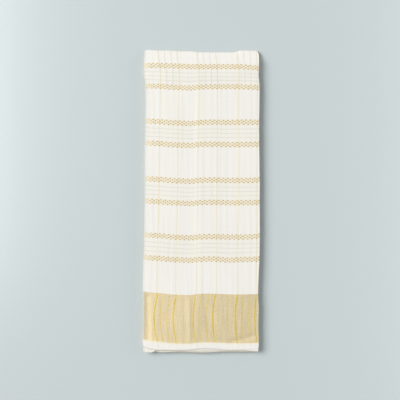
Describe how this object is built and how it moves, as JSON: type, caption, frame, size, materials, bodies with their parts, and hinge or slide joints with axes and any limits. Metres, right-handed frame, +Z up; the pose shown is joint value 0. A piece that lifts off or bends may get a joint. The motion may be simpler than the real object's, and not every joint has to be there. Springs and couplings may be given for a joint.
{
  "type": "folded dhoti cloth",
  "caption": "Length of off-white handloom cotton with pale gold check lines and a woven gold end border, folded into a flat layered strip.",
  "frame": {"origin": "middle of the folded cloth's box in plan, at the height of its flat underside", "axes": "+Z up from the underside; +Y along the pile from its foot, where the gold border is, to the folded head; +X to the right seen from above with the head away"},
  "size_m": [0.1996, 0.5134, 0.0148],
  "materials": {
    "cotton": "fine off-white plain weave, matte, with thin pale yellow lines",
    "zari": "woven pale gold thread with a soft sheen"
  },
  "bodies": {
    "root": {"end_strip": "cotton", "zari_border": "zari", "top_field": "cotton", "head_fold": "cotton", "underside_field": "cotton", "hidden_strips": "cotton", "second_end": "cotton", "middle_fold": "cotton", "lower_fold": "cotton"}
  },
  "joints": []
}
